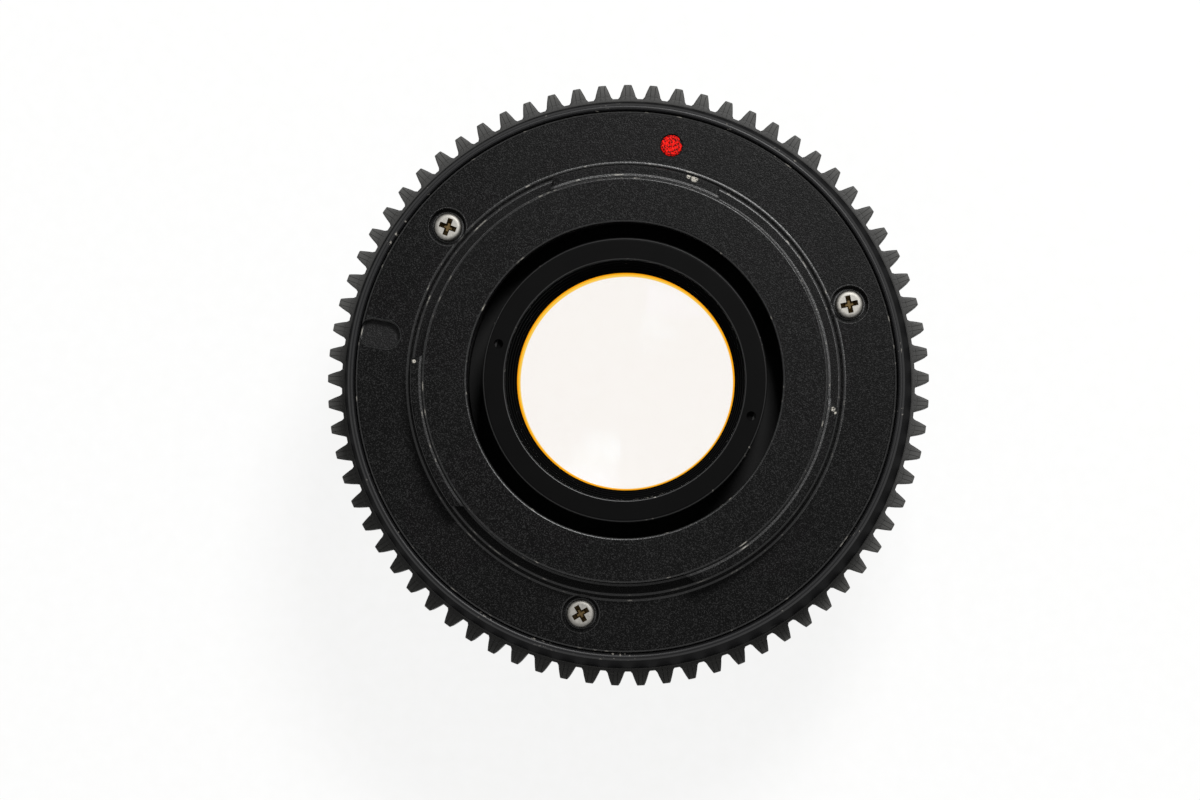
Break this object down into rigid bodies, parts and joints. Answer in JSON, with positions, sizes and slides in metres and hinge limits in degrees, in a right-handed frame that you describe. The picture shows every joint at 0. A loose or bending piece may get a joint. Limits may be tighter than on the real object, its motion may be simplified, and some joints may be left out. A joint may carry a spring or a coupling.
{
  "type": "prime lens",
  "caption": "Compact manual cine prime lens with geared focus and aperture rings, multi-blade iris, helicoid focusing and a three-tab camera bayonet.",
  "frame": {"origin": "centre of the bayonet flange's bearing face", "axes": "+Z along the optical axis into the camera body, +Y towards the index line"},
  "size_m": [0.06, 0.06, 0.0585],
  "materials": {
    "black_hard_anodised": "matte, bead-blasted and hard anodised",
    "black_satin_anodised": "satin anodised",
    "gear_ring_black": "satin anodised, teeth cut",
    "trim_black": "satin anodised",
    "cell_black": "matte black anodised",
    "retainer_black": "smooth black anodised",
    "nut_brass": "machined",
    "shim_brass": "rolled foil",
    "screw_steel": "bright stainless",
    "screw_black_steel": "black oxide",
    "index_red": "enamel",
    "coated_glass": "polished and coated",
    "blade_black": "matte black coated"
  },
  "bodies": {
    "root": {"mount_plate": "black_hard_anodised", "mount_screws": "screw_steel", "index_dot": "index_red", "mount_shim": "shim_brass", "rear_barrel": "black_satin_anodised", "rear_barrel_screws": "screw_black_steel", "main_barrel": "black_satin_anodised", "guide_keys": "nut_brass", "index_sleeve": "black_satin_anodised", "index_sleeve_screws": "screw_black_steel", "helicoid_retainer": "cell_black", "front_barrel": "black_satin_anodised", "front_barrel_screws": "screw_black_steel", "front_trim_ring": "trim_black"},
    "aperture_ring": {"aperture_ring": "gear_ring_black", "aperture_drive_screw": "screw_black_steel"},
    "focus_ring": {"focus_ring": "gear_ring_black", "focus_helicoid": "nut_brass", "focus_key": "nut_brass", "focus_key_screw": "screw_black_steel"},
    "optical_unit": {"inner_helicoid": "cell_black", "front_cell": "cell_black", "front_retaining_ring": "cell_black", "lens_1": "coated_glass", "lens_2": "coated_glass", "lens_3": "coated_glass", "pair_retaining_ring": "cell_black", "rear_cell": "cell_black", "rear_cell_screws": "screw_black_steel", "inner_retaining_ring": "cell_black", "lens_4": "coated_glass", "lens_5": "coated_glass", "lens_6": "coated_glass", "rear_spacer": "cell_black", "lens_7": "coated_glass", "rear_retaining_ring": "retainer_black", "iris_base": "cell_black", "iris_base_screws": "screw_black_steel"},
    "iris_rotor": {"iris_rotor": "blade_black"},
    "iris_blade_01": {"iris_blade_01": "blade_black"},
    "iris_blade_02": {"iris_blade_02": "blade_black"},
    "iris_blade_03": {"iris_blade_03": "blade_black"},
    "iris_blade_04": {"iris_blade_04": "blade_black"},
    "iris_blade_05": {"iris_blade_05": "blade_black"},
    "iris_blade_06": {"iris_blade_06": "blade_black"},
    "iris_blade_07": {"iris_blade_07": "blade_black"},
    "iris_blade_08": {"iris_blade_08": "blade_black"},
    "iris_blade_09": {"iris_blade_09": "blade_black"},
    "iris_blade_10": {"iris_blade_10": "blade_black"}
  },
  "joints": [
    {"name": "aperture_turn", "type": "hinge", "parent": "root", "child": "aperture_ring", "pos_m": [0, 0, -0.0155], "axis": [0, 0, 1], "range_deg": [0, 60]},
    {"name": "focus_turn", "type": "hinge", "parent": "root", "child": "focus_ring", "pos_m": [0, 0, -0.0348], "axis": [0, 0, 1], "range_deg": [0, 160]},
    {"name": "unit_slide", "type": "slide", "parent": "root", "child": "optical_unit", "axis": [0, 0, -1], "range_m": [0, 0.004]},
    {"name": "rotor_turn", "type": "hinge", "parent": "optical_unit", "child": "iris_rotor", "pos_m": [0, 0, -0.0219], "axis": [0, 0, 1], "range_deg": [0, 60]},
    {"name": "blade_01_swing", "type": "hinge", "parent": "optical_unit", "child": "iris_blade_01", "pos_m": [0.0189, 0, -0.0235], "axis": [0, 0, 1], "range_deg": [0, 33]},
    {"name": "blade_02_swing", "type": "hinge", "parent": "optical_unit", "child": "iris_blade_02", "pos_m": [0.01529, 0.01111, -0.0235], "axis": [0, 0, 1], "range_deg": [0, 33]},
    {"name": "blade_03_swing", "type": "hinge", "parent": "optical_unit", "child": "iris_blade_03", "pos_m": [0.00584, 0.01797, -0.0235], "axis": [0, 0, 1], "range_deg": [0, 33]},
    {"name": "blade_04_swing", "type": "hinge", "parent": "optical_unit", "child": "iris_blade_04", "pos_m": [-0.00584, 0.01797, -0.0235], "axis": [0, 0, 1], "range_deg": [0, 33]},
    {"name": "blade_05_swing", "type": "hinge", "parent": "optical_unit", "child": "iris_blade_05", "pos_m": [-0.01529, 0.01111, -0.0235], "axis": [0, 0, 1], "range_deg": [0, 33]},
    {"name": "blade_06_swing", "type": "hinge", "parent": "optical_unit", "child": "iris_blade_06", "pos_m": [-0.0189, 0, -0.0235], "axis": [0, 0, 1], "range_deg": [0, 33]},
    {"name": "blade_07_swing", "type": "hinge", "parent": "optical_unit", "child": "iris_blade_07", "pos_m": [-0.01529, -0.01111, -0.0235], "axis": [0, 0, 1], "range_deg": [0, 33]},
    {"name": "blade_08_swing", "type": "hinge", "parent": "optical_unit", "child": "iris_blade_08", "pos_m": [-0.00584, -0.01797, -0.0235], "axis": [0, 0, 1], "range_deg": [0, 33]},
    {"name": "blade_09_swing", "type": "hinge", "parent": "optical_unit", "child": "iris_blade_09", "pos_m": [0.00584, -0.01797, -0.0235], "axis": [0, 0, 1], "range_deg": [0, 33]},
    {"name": "blade_10_swing", "type": "hinge", "parent": "optical_unit", "child": "iris_blade_10", "pos_m": [0.01529, -0.01111, -0.0235], "axis": [0, 0, 1], "range_deg": [0, 33]}
  ],
  "couplings": [
    {"joint": "focus_turn", "follows": "unit_slide", "rad_per_m": 698.13},
    {"joint": "rotor_turn", "follows": "aperture_turn", "ratio": 1},
    {"joint": "blade_01_swing", "follows": "aperture_turn", "ratio": 0.55},
    {"joint": "blade_02_swing", "follows": "aperture_turn", "ratio": 0.55},
    {"joint": "blade_03_swing", "follows": "aperture_turn", "ratio": 0.55},
    {"joint": "blade_04_swing", "follows": "aperture_turn", "ratio": 0.55},
    {"joint": "blade_05_swing", "follows": "aperture_turn", "ratio": 0.55},
    {"joint": "blade_06_swing", "follows": "aperture_turn", "ratio": 0.55},
    {"joint": "blade_07_swing", "follows": "aperture_turn", "ratio": 0.55},
    {"joint": "blade_08_swing", "follows": "aperture_turn", "ratio": 0.55},
    {"joint": "blade_09_swing", "follows": "aperture_turn", "ratio": 0.55},
    {"joint": "blade_10_swing", "follows": "aperture_turn", "ratio": 0.55}
  ]
}
